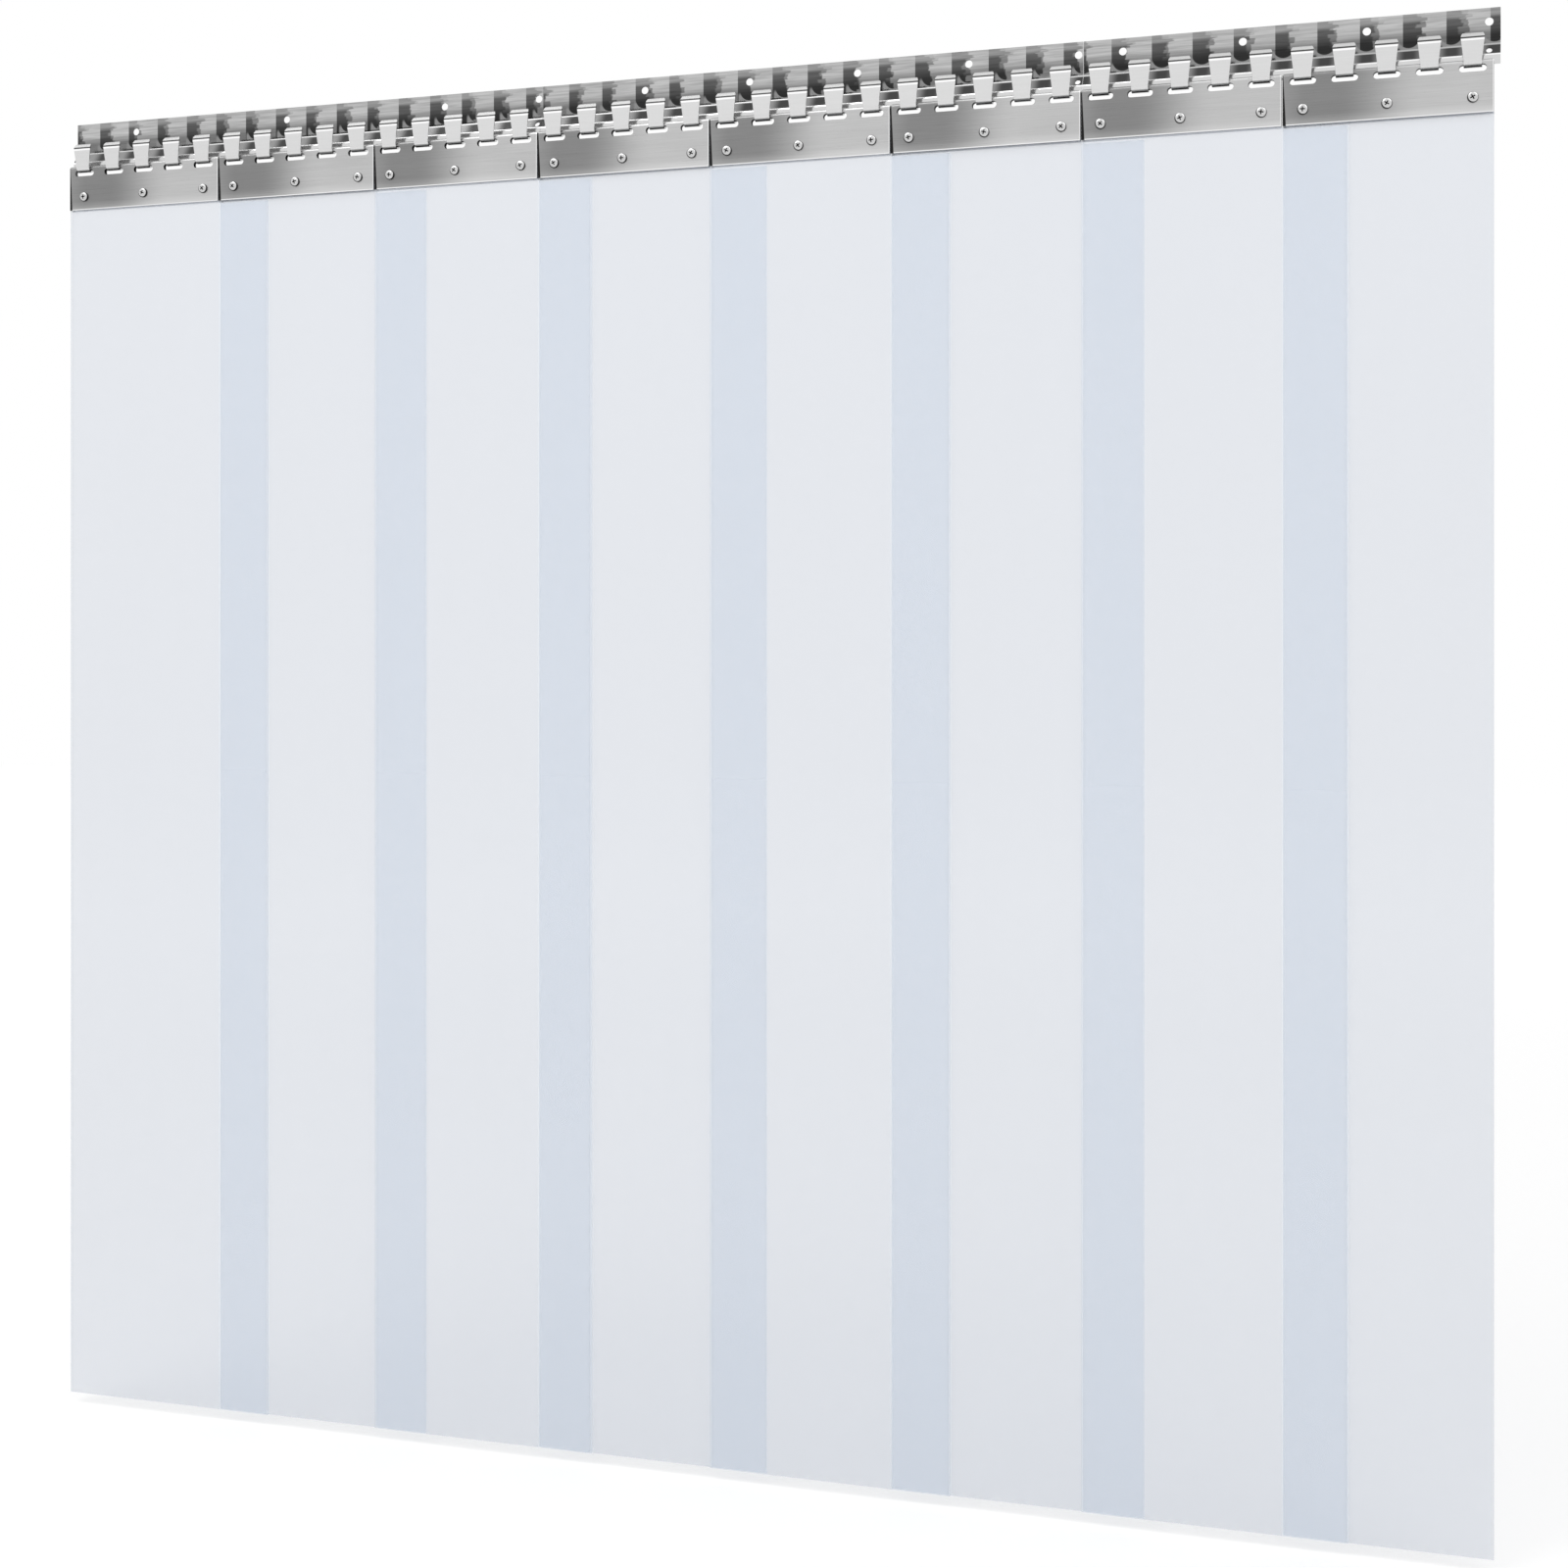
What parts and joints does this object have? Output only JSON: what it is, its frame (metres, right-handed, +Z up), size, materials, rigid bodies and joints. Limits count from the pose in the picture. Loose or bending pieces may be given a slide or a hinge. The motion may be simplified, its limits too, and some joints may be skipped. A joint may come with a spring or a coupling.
{
  "type": "pvc strip curtain",
  "caption": "Hook-on strip curtain for a doorway: a stainless comb rail carries folded clamp plates, each gripping one clear overlapping PVC sheet that swings by itself.",
  "frame": {"origin": "on the rail's wall face, at the middle of the clamps, on the line of the fixing holes", "axes": "+X along the rail to the right seen from the front, +Y into the wall, +Z up; the front is -Y"},
  "size_m": [1.83, 0.0247, 1.7],
  "materials": {
    "polished_stainless": "polished, fine horizontal grain",
    "brushed_stainless": "brushed along the plate",
    "screw_steel": "bright",
    "clear_pvc": "clear soft sheet, faint blue, glossy"
  },
  "bodies": {
    "rail": {"rail_left": "polished_stainless", "rail_centre": "polished_stainless", "rail_right": "polished_stainless"},
    "curtain_1": {"clamp_1": "brushed_stainless", "strip_1": "clear_pvc", "screw_1_1": "screw_steel", "screw_1_2": "screw_steel", "screw_1_3": "screw_steel"},
    "curtain_2": {"clamp_2": "brushed_stainless", "strip_2": "clear_pvc", "screw_2_1": "screw_steel", "screw_2_2": "screw_steel", "screw_2_3": "screw_steel"},
    "curtain_3": {"clamp_3": "brushed_stainless", "strip_3": "clear_pvc", "screw_3_1": "screw_steel", "screw_3_2": "screw_steel", "screw_3_3": "screw_steel"},
    "curtain_4": {"clamp_4": "brushed_stainless", "strip_4": "clear_pvc", "screw_4_1": "screw_steel", "screw_4_2": "screw_steel", "screw_4_3": "screw_steel"},
    "curtain_5": {"clamp_5": "brushed_stainless", "strip_5": "clear_pvc", "screw_5_1": "screw_steel", "screw_5_2": "screw_steel", "screw_5_3": "screw_steel"},
    "curtain_6": {"clamp_6": "brushed_stainless", "strip_6": "clear_pvc", "screw_6_1": "screw_steel", "screw_6_2": "screw_steel", "screw_6_3": "screw_steel"},
    "curtain_7": {"clamp_7": "brushed_stainless", "strip_7": "clear_pvc", "screw_7_1": "screw_steel", "screw_7_2": "screw_steel", "screw_7_3": "screw_steel"},
    "curtain_8": {"clamp_8": "brushed_stainless", "strip_8": "clear_pvc", "screw_8_1": "screw_steel", "screw_8_2": "screw_steel", "screw_8_3": "screw_steel"}
  },
  "joints": [
    {"name": "strip_1_swing", "type": "hinge", "parent": "rail", "child": "curtain_1", "pos_m": [-0.798, -0.016, -0.046], "axis": [-1, 0, 0], "range_deg": [0, 40]},
    {"name": "strip_2_swing", "type": "hinge", "parent": "rail", "child": "curtain_2", "pos_m": [-0.57, -0.016, -0.046], "axis": [1, 0, 0], "range_deg": [0, 28]},
    {"name": "strip_3_swing", "type": "hinge", "parent": "rail", "child": "curtain_3", "pos_m": [-0.342, -0.016, -0.046], "axis": [-1, 0, 0], "range_deg": [0, 40]},
    {"name": "strip_4_swing", "type": "hinge", "parent": "rail", "child": "curtain_4", "pos_m": [-0.114, -0.016, -0.046], "axis": [1, 0, 0], "range_deg": [0, 28]},
    {"name": "strip_5_swing", "type": "hinge", "parent": "rail", "child": "curtain_5", "pos_m": [0.114, -0.016, -0.046], "axis": [-1, 0, 0], "range_deg": [0, 40]},
    {"name": "strip_6_swing", "type": "hinge", "parent": "rail", "child": "curtain_6", "pos_m": [0.342, -0.016, -0.046], "axis": [1, 0, 0], "range_deg": [0, 28]},
    {"name": "strip_7_swing", "type": "hinge", "parent": "rail", "child": "curtain_7", "pos_m": [0.57, -0.016, -0.046], "axis": [-1, 0, 0], "range_deg": [0, 40]},
    {"name": "strip_8_swing", "type": "hinge", "parent": "rail", "child": "curtain_8", "pos_m": [0.798, -0.016, -0.046], "axis": [1, 0, 0], "range_deg": [0, 28]}
  ]
}
